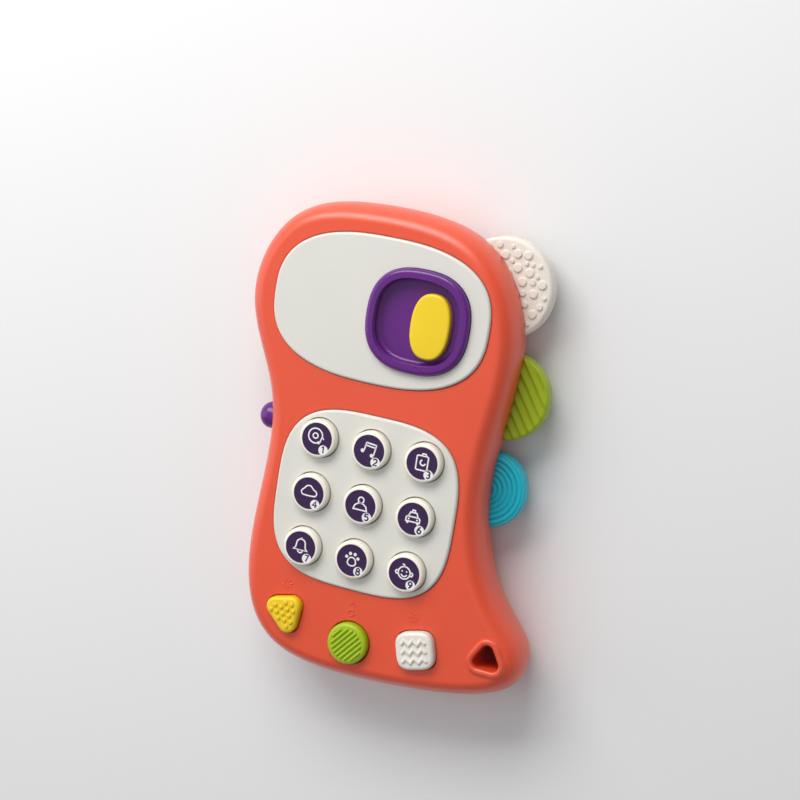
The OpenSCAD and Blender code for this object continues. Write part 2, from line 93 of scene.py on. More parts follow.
DOOR_SCREW_AT = (20, 58.3)
SPEAKER_AT, GRILLE_PITCH = (0, -8), 4.6


# ---------------------------------------------------------------- outlines and meshes

def spline(control, steps):
    """Closed cubic B-spline, the CAD outline's curve with more points."""
    c = np.array(control, float)
    n = len(c)
    points = []
    for i in range(n):
        for j in range(steps):
            t = j / steps
            u = 1 - t
            w = (u ** 3, 3 * t ** 3 - 6 * t ** 2 + 4, 3 * u ** 3 - 6 * u ** 2 + 4, t ** 3)
            points.append(sum(w[k] * c[(i + k) % n] for k in range(4)) / 6)
    return np.array(points)


def turned(x, y, degrees, at=(0, 0)):
    """The point (x, y), or many of them, turned about the origin and then moved by at."""
    a = math.radians(degrees)
    return x * math.cos(a) - y * math.sin(a) + at[0], x * math.sin(a) + y * math.cos(a) + at[1]


def arc(x, y, r, start, stop, n=24, squash=1.0):
    """Points from the angle start to stop, in degrees; squash scales the height."""
    return [(x + r * math.cos(a), y + r * squash * math.sin(a))
            for a in np.radians(np.linspace(start, stop, n))]


def superellipse(half, e, n=144, turn=0.0, at=(0, 0)):
    """Clockwise rounded rectangle; a larger exponent e has tighter corners."""
    w = -2 * np.pi * np.arange(n) / n
    r = (np.abs(np.cos(w) / half[0]) ** e + np.abs(np.sin(w) / half[1]) ** e) ** (-1 / e)
    return np.column_stack(turned(r * np.cos(w), r * np.sin(w), turn, at))


def circle(r, n=96, at=(0, 0)):
    return superellipse((r, r), 2, n, 0, at)


def rounded_polygon(corners, r, at=(0, 0), steps=9, side_steps=8):
    """Clockwise polygon with corners of radius r and evenly divided straight sides."""
    c = np.array(corners, float)
    n = len(c)
    arcs = []
    for i in range(n):
        before, after = c[i] - c[i - 1], c[(i + 1) % n] - c[i]
        first = math.atan2(before[0], -before[1])
        last = math.atan2(after[0], -after[1])
        while last > first:
            last -= 2 * math.pi
        a = np.linspace(first, last, steps)
        arcs.append(c[i] + r * np.column_stack([np.cos(a), np.sin(a)]))
    points = []
    for i in range(n):
        points.extend(arcs[i])
        start, stop = arcs[i][-1], arcs[(i + 1) % n][0]
        points.extend(start + (stop - start) * k / side_steps for k in range(1, side_steps))
    return np.array(points) + np.array(at)


def rounded_triangle(d, r, directions, at):
    return rounded_polygon([(d * math.cos(w), d * math.sin(w)) for w in np.radians(directions)], r, at)


def rounded_box(low, high, r):
    x0, y0, x1, y1 = low[0] + r, low[1] + r, high[0] - r, high[1] - r
    return rounded_polygon([(x0, y1), (x1, y1), (x1, y0), (x0, y0)], r)


def inset(points, d):
    """The clockwise outline moved inward by d."""
    t = np.roll(points, -1, 0) - np.roll(points, 1, 0)
    normal = np.column_stack([-t[:, 1], t[:, 0]]) / np.linalg.norm(t, axis=1)[:, None]
    return points - d * normal


def ring(points, d, z):
    return np.column_stack([inset(points, d), np.full(len(points), float(z))])


def world(points):
    return np.asarray(points, float) * MM + np.array([DATUM.x, DATUM.y, 0])


def build(name, points, faces):
    """Mesh object from points in millimetres, with its faces turned outward."""
    mesh = bpy.data.meshes.new(name)
    mesh.from_pydata(world(points).tolist(), [], faces)
    bm = bmesh.new()
    bm.from_mesh(mesh)
    bmesh.ops.recalc_face_normals(bm, faces=bm.faces)
    bm.to_mesh(mesh)
    bm.free()
    ob = bpy.data.objects.new(name, mesh)
    bpy.context.scene.collection.objects.link(ob)
    return ob


def loft(name, rings, closed=False):
    """Solid through rings of equal length; closed joins the last ring to the first."""
    n, m = len(rings[0]), len(rings)
    faces = []
    for k in range(m if closed else m - 1):
        a, b = k * n, (k + 1) % m * n
        faces += [(a + i, a + (i + 1) % n, b + (i + 1) % n, b + i) for i in range(n)]
    if not closed:
        faces += [tuple(range(n)), tuple(range((m - 1) * n, m * n))]
    return build(name, np.vstack(rings), faces)


def lathe(name, profile, at=(0, 0), n=96):
    return loft(name, [ring(circle(r, n, at), 0, z) for r, z in profile])


def drop(ob):
    mesh = ob.data
    bpy.data.objects.remove(ob)
    bpy.data.meshes.remove(mesh)


def join(name, parts):
    bm = bmesh.new()
    for part in parts:
        bm.from_mesh(part.data)
    mesh = bpy.data.meshes.new(name)
    bm.to_mesh(mesh)
    bm.free()
    for part in parts:
        drop(part)
    ob = bpy.data.objects.new(name, mesh)
    bpy.context.scene.collection.objects.link(ob)
    return ob


def combine(ob, others, operation="DIFFERENCE"):
    """Applies one exact boolean for each of the others, which are then removed."""
    for other in others:
        mod = ob.modifiers.new("combine", "BOOLEAN")
        mod.object, mod.operation, mod.solver = other, operation, "EXACT"
    bpy.context.view_layer.update()
    mesh = bpy.data.meshes.new_from_object(ob.evaluated_get(bpy.context.evaluated_depsgraph_get()))
    ob.modifiers.clear()
    old, ob.data = ob.data, mesh
    mesh.name = ob.name
    bpy.data.meshes.remove(old)
    for other in others:
        drop(other)
    return ob


def finish_piece(ob, material, body, nodes=(), sharp=32):
    """Shades the piece, paints it and puts it on its CAD body."""
    ob.data.shade_smooth()
    ob.data.set_sharp_from_angle(angle=math.radians(sharp))
    weighted = ob.modifiers.new("weighted", "WEIGHTED_NORMAL")
    weighted.keep_sharp = True
    weighted.weight = 80
    ob.data.materials.clear()
    ob.data.materials.append(material)
    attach(ob, body)
    if nodes:
        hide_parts(*nodes)
    return ob


def quarter(steps):
    return [math.radians(90 * k / steps) for k in range(steps + 1)]


def soft_plate(name, points, low, high, r, low_r=0.0):
    """Plate with a rounded top edge and, with low_r, a rounded bottom edge."""
    rings = [ring(points, 0, low)]
    if low_r:
        rings = [ring(points, low_r * (1 - math.sin(a)), low + low_r * (1 - math.cos(a))) for a in quarter(4)]
    rings += [ring(points, r * (1 - math.cos(a)), high - r + r * math.sin(a)) for a in quarter(8)]
    return loft(name, rings)


def well(points, gap, inner, outer, r=0.4):
    """Cutter for an opening from the height inner to the face at outer, whose edge is rounded with r."""
    s = 1 if outer > inner else -1
    rings = [ring(points, -gap, inner)]
    for a in np.radians([0, 20, 40, 60, 78]):
        rings.append(ring(points, -gap - r * (1 - math.cos(a)), outer - s * r * (1 - math.sin(a))))
    rings.append(ring(points, -gap - r, outer + s))
    return loft("well", rings)


def sweep(points, profile, closed=False, round_ends=0.0):
    """Bar along flat points. The profile gives (across, height) pairs.
    Both ends taper over the length round_ends."""
    p = np.array(points, float)
    if round_ends:
        dense = [p[0]]
        for a, b in zip(p[:-1], p[1:]):
            steps = max(2, int(np.linalg.norm(b - a) / (round_ends / 5)))
            dense += [a + (b - a) * k / steps for k in range(1, steps + 1)]
        p = np.array(dense)
    ahead = np.roll(p, -1, 0) - p
    behind = p - np.roll(p, 1, 0)
    if not closed:
        ahead[-1], behind[0] = behind[-1], ahead[0]

    def side(v):
        return np.column_stack([-v[:, 1], v[:, 0]]) / np.linalg.norm(v, axis=1)[:, None]

    n1, n2 = side(behind), side(ahead)
    mitre = (n1 + n2) / np.linalg.norm(n1 + n2, axis=1)[:, None]
    mitre /= np.maximum((mitre * n1).sum(1), 0.6)[:, None]
    run = np.concatenate([[0], np.cumsum(np.linalg.norm(np.diff(p, axis=0), axis=1))])
    rings = []
    for i, q in enumerate(p):
        scale = 1.0
        if round_ends:
            s = min(run[i], run[-1] - run[i], round_ends) / round_ends
            scale = max(0.12, math.sqrt(max(0.0, 1 - (1 - s) ** 2)))
        base = profile[0][1]
        rings.append(np.array([[*(q + mitre[i] * u * scale), base + (h - base) * scale] for u, h in profile]))
    return loft("bar", rings, closed)


def ridge_profile(width, base, height, sink=0.3):
    """Half-round bar standing on base, sunk into it."""
    arc = [(-width / 2 * math.cos(a), base + height * math.sin(a)) for a in np.linspace(0, math.pi, 9)]
    return [(-width / 2, base - sink)] + arc + [(width / 2, base - sink)]


# ---------------------------------------------------------------- materials

def material(name, colour, rough, grain=0.012, grain_scale=2600.0, tint=0.05, coat=0.0, coat_rough=0.18,
             metal=0.0, subsurface=0.0, streak=0.0, sheen=0.0):
    """Moulded surface: fine grain in the bump, grain millimetres deep, faint change in colour and gloss."""
    mat = bpy.data.materials.new(name)
    mat.use_nodes = True
    nodes, links = mat.node_tree.nodes, mat.node_tree.links
    shader = nodes["Principled BSDF"]
    shader.inputs["Metallic"].default_value = metal
    shader.inputs["Coat Weight"].default_value = coat
    shader.inputs["Coat Roughness"].default_value = coat_rough
    shader.inputs["Sheen Weight"].default_value = sheen
    if subsurface:
        shader.inputs["Subsurface Weight"].default_value = subsurface
        shader.inputs["Subsurface Radius"].default_value = (0.004, 0.003, 0.002)
        shader.inputs["Subsurface Scale"].default_value = 1.0
    place = nodes.new("ShaderNodeTexCoord")

    def noise(scale, detail, stretch=None):
        tex = nodes.new("ShaderNodeTexNoise")
        tex.inputs["Scale"].default_value = scale
        tex.inputs["Detail"].default_value = detail
        source = place.outputs["Object"]
        if stretch:
            mapping = nodes.new("ShaderNodeMapping")
            mapping.inputs["Scale"].default_value = stretch
            links.new(source, mapping.inputs["Vector"])
            source = mapping.outputs["Vector"]
        links.new(source, tex.inputs["Vector"])
        return tex

    cloud = noise(38.0, 3.0)
    ramp = nodes.new("ShaderNodeValToRGB")
    ramp.color_ramp.elements[0].position, ramp.color_ramp.elements[1].position = 0.3, 0.7
    ramp.color_ramp.elements[0].color = [c * (1 - tint) for c in colour] + [1]
    ramp.color_ramp.elements[1].color = [min(1, c * (1 + tint)) for c in colour] + [1]
    links.new(cloud.outputs["Fac"], ramp.inputs["Fac"])
    links.new(ramp.outputs["Color"], shader.inputs["Base Color"])

    wear = noise(160.0, 4.0, (1, streak, 1) if streak else None)
    spread = nodes.new("ShaderNodeMapRange")
    spread.inputs["To Min"].default_value = rough * 0.86
    spread.inputs["To Max"].default_value = min(1.0, rough * 1.16)
    links.new(wear.outputs["Fac"], spread.inputs["Value"])
    links.new(spread.outputs["Result"], shader.inputs["Roughness"])

    fine = noise(grain_scale, 2.0, (1, streak, 1) if streak else None)
    bump = nodes.new("ShaderNodeBump")
    bump.inputs["Strength"].default_value = 0.35
    bump.inputs["Distance"].default_value = grain * MM
    links.new(fine.outputs["Fac"], bump.inputs["Height"])
    links.new(bump.outputs["Normal"], shader.inputs["Normal"])
    return mat


ORANGE = material("orange_plastic", (0.78, 0.068, 0.015), 0.42, tint=0.02, coat=0.8, coat_rough=0.40)
PANEL = material("panel_plastic", (0.70, 0.69, 0.63), 0.42, tint=0.015)
KEYCAP = material("keycap_plastic", (0.88, 0.84, 0.73), 0.26, tint=0.02)
PRINT = material("print_purple", (0.030, 0.004, 0.060), 0.42, grain=0.006, tint=0.06)
PRINT_LIGHT = material("print_white", (0.86, 0.84, 0.84), 0.34, grain=0.006, tint=0.02)
PURPLE = material("purple_plastic", (0.110, 0.010, 0.190), 0.28, tint=0.04)
YELLOW = material("yellow_plastic", (0.86, 0.60, 0.012), 0.38, tint=0.03)
GREEN = material("green_plastic", (0.36, 0.52, 0.006), 0.38, tint=0.03)
WHITE = material("white_plastic", (0.80, 0.76, 0.69), 0.38, tint=0.02)
SOFT_WHITE = material("soft_white", (0.78, 0.74, 0.66), 0.50, grain=0.02, grain_scale=1800.0, tint=0.03,
                      subsurface=0.15, sheen=0.05)
SOFT_GREEN = material("soft_green", (0.33, 0.44, 0.002), 0.42, grain=0.02, grain_scale=1800.0, tint=0.03,
                      subsurface=0.10, sheen=0.05)
SOFT_CYAN = material("soft_cyan", (0.003, 0.46, 0.58), 0.46, grain=0.02, grain_scale=1800.0, tint=0.03,
                     subsurface=0.10, sheen=0.05)
GREY = material("grey_plastic", (0.27, 0.27, 0.28), 0.48)
BLACK = material("black_plastic", (0.018, 0.018, 0.020), 0.42)
SILICONE = material("silicone", (0.42, 0.44, 0.46), 0.55, subsurface=0.2)
BOARD = material("solder_mask", (0.010, 0.085, 0.028), 0.30, grain=0.03, grain_scale=700.0, tint=0.15,
                 coat=0.3)
STEEL = material("zinc_steel", (0.60, 0.60, 0.61), 0.30, metal=1.0, streak=0.15, tint=0.08)
NICKEL = material("nickel", (0.70, 0.69, 0.66), 0.20, metal=1.0, streak=0.2, tint=0.05)
SLEEVE = material("cell_sleeve", (0.02, 0.07, 0.28), 0.28, metal=0.4, coat=0.4, tint=0.1)
CONE = material("cone_paper", (0.022, 0.022, 0.026), 0.7, grain=0.06, grain_scale=900.0, tint=0.2)
WIRE_RED = material("wire_red", (0.42, 0.006, 0.006), 0.40)
WIRE_BLACK = material("wire_black", (0.014, 0.014, 0.014), 0.40)

# ---------------------------------------------------------------- housing

SEAM = 0.12                     # chamfer of both shells at the parting line
SUPPORT_LOW = 1.0               # the rear supports start inside the back wall
POST_R, REAR_POST_R, SCREW_HOLE_R = 2.6, 3.8, 3.0
LIP_HALF, LIP_RISE = 1.05, 0.85
PANEL_GAP = 0.12

body_outline = spline(OUTLINE, 16)
hole_outline = rounded_triangle(2.6, 2.1, (90, -30, 210), HOLE_AT)
face_outline = superellipse(FACE_HALF, 2.6, 200, 0, FACE_AT)
pad_outline = superellipse(PAD_HALF, 3.25, 200)
window_outline = superellipse(WINDOW_HALF, 2.5, 144, 0, WINDOW_AT)
bezel_outline = superellipse([h + BEZEL_RIM for h in WINDOW_HALF], 2.5, 144, 0, WINDOW_AT)
triangle_outline = rounded_triangle(3.5, 3.2, (52, -64, 156), TRIANGLE_AT)
square_outline = superellipse((6.35, 6.15), 3.4, 96, SQUARE_TURN, SQUARE_AT)


def disc_profile(r, half):
    """Rim of a teether disc from its lower to its upper face: radius, height and upward lean."""
    return [(r - DISC_EDGE * (1 - math.cos(a)),
             math.copysign(half - DISC_EDGE, a) + DISC_EDGE * math.sin(a),
             math.sin(a)) for a in np.radians(np.linspace(-90, 90, 20))]


def placed(points, i):
    """Points of disc i, from the disc's own coordinates to the middle key's."""
    p = np.asarray(points, float)
    x, y = turned(p[:, 0], p[:, 1], DISC_TURN[i], DISC_AT[i])
    return np.column_stack([x, y, p[:, 2] + DISC_Z])


def disc_slot(i, gap=0.12):
    return loft("disc_slot", [placed(ring(circle(r, 96), 0, z), i)
                              for r, z, lean in disc_profile(DISC_R[i] + gap, DISC_T / 2 + gap)])


def side_ring(r, x, n):
    """Circle of the side button's axis, at the place x along it."""
    c = circle(r, n)
    return np.column_stack([np.full(n, x), c[:, 0] + SIDE_Y, c[:, 1] + PART_Z])


def side_slot():
    return loft("side_slot", [side_ring(SIDE_R + KEY_GAP, x, 48) for x in (-50.0, -30.0)])


def rounded_side(start, rounding, end_z, steps):
    """Rings from the parting line to the height end_z, which move inward from the inset start."""
    return [ring(body_outline, start + rounding * (1 - math.cos(a)), PART_Z + (end_z - PART_Z) * math.sin(a))
            for a in quarter(steps)]


def shell(name, outer_round, outer_z, inner_round, inner_z):
    """Half of the housing, open at the parting line."""
    outer = rounded_side(0, outer_round, outer_z, 18)
    seam_z = PART_Z + math.copysign(SEAM, outer_z - PART_Z)
    outer[:1] = [ring(body_outline, SEAM, PART_Z), ring(body_outline, 0.02, seam_z)]
    return loft(name, outer[::-1] + rounded_side(WALL, inner_round, inner_z, 5))


def upright(name, points, low, high):
    """Plain plate between two heights."""
    return loft(name, [ring(points, 0, low), ring(points, 0, high)])


front = shell("front_housing", FRONT_ROUND, FACE_Z, 2.0, SKIN_Z)
posts = [upright("post", circle(POST_R, 32, p), PART_Z + 0.1, FACE_Z - 2.4) for p in SCREWS_AT]
lip = loft("lip", [ring(hole_outline, -3.4, FACE_Z - 1.4), ring(hole_outline, -2.2, FACE_Z - 0.1)] +
           [ring(hole_outline, -LIP_HALF * (1 + math.cos(a)), FACE_Z + 0.05 + LIP_RISE * math.sin(a))
            for a in np.radians(range(0, 181, 15))])
tunnel = upright("tunnel", inset(hole_outline, -1.6), PART_Z + 0.05, FACE_Z - 1)
combine(front, [lip, tunnel] + posts, "UNION")
hole_cut = loft("hole", [ring(hole_outline, 0.15, PART_Z - 3), ring(hole_outline, 0.02, FACE_Z + 0.1),
                         ring(hole_outline, -0.02, FACE_Z + 3)])
openings = [(face_outline, PANEL_GAP, 0.5), (pad_outline, PANEL_GAP, 0.5), (triangle_outline, KEY_GAP, 0.45),
            (circle(ROUND_R, 96, ROUND_AT), KEY_GAP, 0.45), (square_outline, KEY_GAP, 0.45)]
front_cuts = [well(points, gap, SKIN_Z - 2, FACE_Z, r) for points, gap, r in openings]
combine(front, front_cuts + [hole_cut, side_slot()])

rear = shell("rear_housing", BACK_ROUND, 0.0, 5.5, WALL)
seat_outline = rounded_box((DOOR_LOW[0] - 3, DOOR_LOW[1] - 1.5), (DOOR_HIGH[0] + 1.5, DOOR_HIGH[1] + 1.5), 3)
bay_outline = rounded_box((BAY_LOW[0] - BAY_WALL, BAY_LOW[1] - BAY_WALL),
                          (BAY_HIGH[0] + BAY_WALL, BAY_HIGH[1] + BAY_WALL), 1)
supports = [upright("seat", seat_outline, SUPPORT_LOW, DOOR_SEAT + 1.6),
            upright("bay_walls", bay_outline, SUPPORT_LOW, PART_Z - 0.2),
            upright("tunnel", inset(hole_outline, -2.6), SUPPORT_LOW, PART_Z - 0.05)]
supports += [upright("post", circle(REAR_POST_R, 32, p), SUPPORT_LOW, PART_Z - 0.1) for p in SCREWS_AT]
for part in supports:
    combine(part, [loft("limit", rounded_side(0.5, BACK_ROUND, 0.0, 12))], "INTERSECT")
combine(rear, supports, "UNION")
rear_cuts = [well(rounded_box(DOOR_LOW, DOOR_HIGH, 2.5), 0, DOOR_SEAT, 0, 0.35),
             upright("bay", rounded_box(BAY_LOW, BAY_HIGH, 1), SUPPORT_LOW, BAY_TOP),
             well(hole_outline, 0.6, PART_Z + 3, 0, 0.6)]
rear_cuts += [well(circle(SCREW_HOLE_R, 48, p), 0, 9.0, 0, 0.4) for p in SCREWS_AT]
for number in range(3):
    for i in range(max(1, 6 * number)):
        p = turned(GRILLE_PITCH * number, 0, 60 * i / max(1, number), SPEAKER_AT)
        rear_cuts.append(well(circle(1.0, 24, p), 0, WALL + 1, 0, 0.25))
combine(rear, rear_cuts + [side_slot()] + [disc_slot(i) for i in range(3)])

door_outline = rounded_box((DOOR_LOW[0] + DOOR_GAP, DOOR_LOW[1] + DOOR_GAP),
                           (DOOR_HIGH[0] - DOOR_GAP, DOOR_HIGH[1] - DOOR_GAP), 2.3)
door = soft_plate("battery_door_cover", door_outline, 0.0, DOOR_T, 0.2, 0.4)
door_cuts = [well(circle(SCREW_HOLE_R, 48, DOOR_SCREW_AT), 0, 2.0, 0, 0.4),
             lathe("shank", [(1.5, 1.0), (1.5, 4.0)], DOOR_SCREW_AT, 32)]
for i in range(4):
    x = DOOR_LOW[0] + 5.5 + 2.4 * i
    door_cuts.append(well(rounded_box((x - 0.55, 50), (x + 0.55, 66), 0.5), 0, 0.6, 0, 0.2))
combine(door, door_cuts)

# Marks above the three buttons: a star of short petals, an arrow over an open ring, and seven small rings
MARK_PROFILE = ridge_profile(0.42, FACE_Z, 0.22, 0.2)
MARK_END = 0.21
STAR_AT, ARROW_RING_AT, RINGS_AT = (-21.9, -32.0), (1.4, -36.0), (22.4, -32.5)
marks = []
for k in range(8):
    petal = [turned(r, 0, 45 * k + 10, STAR_AT) for r in (0.9, 1.9)]
    marks.append(sweep(petal, MARK_PROFILE, round_ends=MARK_END))
open_ring = arc(*ARROW_RING_AT, 1.0, math.degrees(0.6), 360 - math.degrees(0.1), 15)
marks.append(sweep(open_ring, MARK_PROFILE, round_ends=MARK_END))
marks.append(sweep([(0.5, -33.6), (1.4, -32.4), (2.3, -33.6)], MARK_PROFILE, round_ends=MARK_END))
for k in range(7):
    middle = turned(0 if k == 6 else 1.25, 0, 60 * k, RINGS_AT)
    marks.append(sweep(arc(*middle, 0.42, 0, -324, 10), ridge_profile(0.22, FACE_Z, 0.16, 0.2), closed=True))
front = join("front_housing", [front] + marks)
finish_piece(front, ORANGE, "housing", ["front_shell"])
finish_piece(rear, ORANGE, "housing", ["rear_shell"])
finish_piece(door, ORANGE, "housing", ["battery_door"])

# ---------------------------------------------------------------- panels and slider

PANEL_ROUND = 0.9

face = soft_plate("upper_panel", face_outline, SKIN_Z, PANEL_TOP, PANEL_ROUND)
pocket = inset(window_outline, -0.9)
pocket[:, 0] += TRAVEL * np.sign(np.round(pocket[:, 0] - WINDOW_AT[0], 6))
combine(face, [well(bezel_outline, 0.08, SKIN_Z - 1, PANEL_TOP, 0.3),
               upright("pocket", pocket, SKIN_Z - 1, POCKET_TOP)])
finish_piece(face, PANEL, "housing", ["face_panel"])

pad = soft_plate("keypad_plate", pad_outline, SKIN_Z, PANEL_TOP, PANEL_ROUND)
key_places = [(KEY_PITCH * column, KEY_PITCH * row) for row in (1, 0, -1) for column in (-1, 0, 1)]
combine(pad, [well(circle(KEY_R, 96, p), KEY_GAP, SKIN_Z - 1, PANEL_TOP, 0.3) for p in key_places])
finish_piece(pad, PANEL, "housing", ["keypad_panel"])

BEZEL_RISE = 2.1
RIM_OUTER, RIM_INNER = 1.5, 1.4         # roundings of the window rim's two top edges
rim_top = PANEL_TOP + BEZEL_RISE
fillet_top = rim_top - 1.9
rim = [(0, POCKET_TOP), (0, rim_top - RIM_OUTER)]
rim += [(RIM_OUTER * (1 - math.cos(a)), rim_top - RIM_OUTER * (1 - math.sin(a))) for a in quarter(8)[1:]]
rim += [(BEZEL_RIM - RIM_INNER * math.cos(a), rim_top - RIM_INNER * (1 - math.sin(a)))
        for a in quarter(8)[::-1]]
rim += [(BEZEL_RIM + RIM_INNER * (1 - math.cos(a)), fillet_top - (fillet_top - POCKET_TOP) * math.sin(a))
        for a in quarter(6)]
bezel = loft("window_rim", [ring(bezel_outline, d, z) for d, z in rim], closed=True)
finish_piece(bezel, PURPLE, "housing", ["slider_bezel"])

KNOB_ROUND, CROWN = 0.9, 0.15
knob_low, knob_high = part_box("slider_knob")
knob_outline = superellipse((6.5, 10.4), 2.4, 120, 0, KNOB_AT)
shoulder = knob_high.z / MM - CROWN
knob_rings = [ring(knob_outline, 0, knob_low.z / MM)]
knob_rings += [ring(knob_outline, KNOB_ROUND * (1 - math.cos(a)), shoulder - KNOB_ROUND * (1 - math.sin(a)))
               for a in quarter(8)]
crown = inset(knob_outline, KNOB_ROUND)
knob_rings += [ring((crown - KNOB_AT) * scale + KNOB_AT, 0, shoulder + rise)
               for scale, rise in ((0.8, 0.06), (0.5, 0.12), (0.2, CROWN))]
finish_piece(loft("knob", knob_rings), YELLOW, "slider", ["slider_knob"])

# ---------------------------------------------------------------- keys

PRINT_Z = KEY_TOP + 0.02
PRINT_LOW, PRINT_HIGH = PRINT_Z - 0.05, PRINT_Z + 0.03
PRINT_R = 5.15
LINE, DIGIT_LINE, DIGIT_LIFT = 0.45, 0.46, 0.04
SPOT_AT, SPOT_R = (2.65, -3.25), 1.6
DIGIT_AT = (SPOT_AT[0] - 0.05, SPOT_AT[1] + 0.1)
CAP_ROUND = 1.0


def flat(points, width=LINE, closed=False, lift=0.0):
    """Printed line."""
    half, high = width / 2, PRINT_HIGH + lift
    return sweep(points, [(-half, PRINT_LOW), (-half, high), (half, high), (half, PRINT_LOW)], closed)


def dot(x, y, r):
    return lathe("dot", [(r, PRINT_LOW), (r, PRINT_HIGH)], (x, y), 32)


def icon_disc():
    return [flat(arc(-0.6, 0.9, 2.4, 5, 290)), flat(arc(-0.6, 0.9, 0.85, 0, 345), closed=True),
            dot(0.75, -1.15, 0.5), flat([(1.15, -1.1), (1.7, 0.9), (2.35, 0.1)])]


def icon_notes():
    return [dot(-2.15, -0.25, 0.62), dot(1.15, -1.35, 0.62), flat([(-1.65, -0.2), (-1.1, 2.7)]),
            flat([(1.7, -1.3), (2.3, 2.3)]), flat([(-1.15, 2.55), (2.3, 2.2)], 0.5),
            flat([(-1.3, 1.65), (2.15, 1.3)])]


def icon_book():
    cover = [(-1.9, 2.1), (-1.5, 2.4), (1.5, 2.4), (1.9, 2.1),
             (1.9, -1.9), (1.5, -2.2), (-1.5, -2.2), (-1.9, -1.9)]
    return [flat(cover, closed=True), flat([(-0.4, 2.5), (-0.1, 3.1), (0.9, 3.1), (1.2, 2.5)]),
            flat(arc(0.25, 0.25, 0.85, 110, 350), 0.5)]


def icon_cloud():
    top = arc(-1.6, 0.2, 0.95, 250, 115, 9) + arc(-0.1, 1.2, 1.35, 150, 30, 11)
    top += arc(1.75, 0.25, 1.0, 85, -70, 11)
    return [flat(top + [(1.2, -0.75), (0, -0.8), (-1.2, -0.75)], closed=True)]


def icon_person():
    shoulders = [(-2.3, -1.3), (-1.9, 0.0), (-0.9, 0.75), (0, 0.9), (0.9, 0.75), (1.9, 0.0), (2.3, -1.3)]
    return [flat(arc(0, 1.9, 0.95, 0, 345), closed=True), flat(shoulders, closed=True)]


def icon_car():
    body_points = [(-2.3, 0.2), (-1.9, 0.6), (1.9, 0.6), (2.3, 0.2), (2.3, -1.0), (-2.3, -1.0)]
    return [flat([(-1.6, 0.6), (-1.1, 2.0), (1.1, 2.0), (1.6, 0.6)]),
            flat([(-0.5, 2.2), (-0.4, 2.8), (0.4, 2.8), (0.5, 2.2)]), flat(body_points, closed=True),
            flat([(-1.7, -1.2), (-1.7, -1.7)], 0.7), flat([(1.7, -1.2), (1.7, -1.7)], 0.7),
            dot(-1.4, -0.2, 0.3), dot(1.4, -0.2, 0.3)]


def icon_bell():
    left, right = [(-2.4, -0.9), (-1.7, -0.2), (-1.5, 1.1)], [(1.5, 1.1), (1.7, -0.2), (2.4, -0.9)]
    return [flat(left + arc(0, 1.2, 1.5, 165, 15, 11) + right, closed=True),
            flat(arc(0, -1.0, 0.85, 190, 350, 9)), flat([(0, 2.7), (0, 3.2)])]


def icon_paw():
    sole = arc(0, -0.6, 1.35, 10, 170, 11, 1.15) + arc(0, -0.75, 1.45, 190, 350, 9, 0.75)
    return [dot(-1.9, 0.9, 0.52), dot(-0.75, 2.1, 0.55), dot(0.85, 2.1, 0.55), dot(2.0, 0.9, 0.52),
            flat(sole, closed=True)]


def icon_smile():
    return [flat(arc(0, 0.3, 2.0, 0, 350, 36), closed=True), dot(-0.75, 0.75, 0.26), dot(0.75, 0.75, 0.26),
            flat(arc(0, 0.1, 1.0, 200, 340, 11)), flat(arc(-2.3, 0.2, 0.6, 70, 290, 9)),
            flat(arc(2.3, 0.2, 0.6, 110, -110, 9)), flat([(0, 2.3), (-0.3, 2.9), (-0.9, 3.0)])]


ICONS = [icon_disc, icon_notes, icon_book, icon_cloud, icon_person, icon_car, icon_bell, icon_paw, icon_smile]
# Strokes of the digits, each with whether it is a closed round
DIGITS = {
    1: [([(-0.45, 0.65), (0.1, 1.05), (0.1, -1.05)], False)],
    2: [(arc(0, 0.45, 0.6, 170, -35, 9) + [(-0.6, -1.0), (0.7, -1.0)], False)],
    3: [(arc(0, 0.5, 0.52, 140, -80, 9) + arc(0, -0.5, 0.58, 75, -140, 9), False)],
    4: [([(0.3, -1.05), (0.3, 1.05), (-0.7, -0.35), (0.8, -0.35)], False)],
    5: [([(0.6, 1.0), (-0.5, 1.0), (-0.55, 0.15)] + arc(0, -0.4, 0.64, 115, -140, 9), False)],
    6: [([(0.4, 1.1), (-0.3, 0.45), (-0.6, -0.3)], False), (arc(0, -0.45, 0.6, 0, 345, 14), True)],
    7: [([(-0.6, 1.0), (0.6, 1.0), (-0.15, -1.05)], False)],
    8: [(arc(0, 0.52, 0.5, 0, 345, 14), True), (arc(0, -0.5, 0.6, 0, 345, 14), True)],
    9: [(arc(0, 0.45, 0.6, 0, 345, 14), True), ([(0.6, 0.3), (0.3, -0.45), (-0.4, -1.1)], False)]}


def shift(ob, p):
    ob.data.transform(Matrix.Translation((p[0] * MM, p[1] * MM, 0)))
    return ob


def digit(number):
    """Plain numeral made of strokes on the white spot of a key."""
    strokes = []
    for points, closed in DIGITS[number]:
        moved = [(x + DIGIT_AT[0], y + DIGIT_AT[1]) for x, y in points]
        strokes.append(flat(moved, DIGIT_LINE, closed, DIGIT_LIFT))
    return join("digit", strokes)


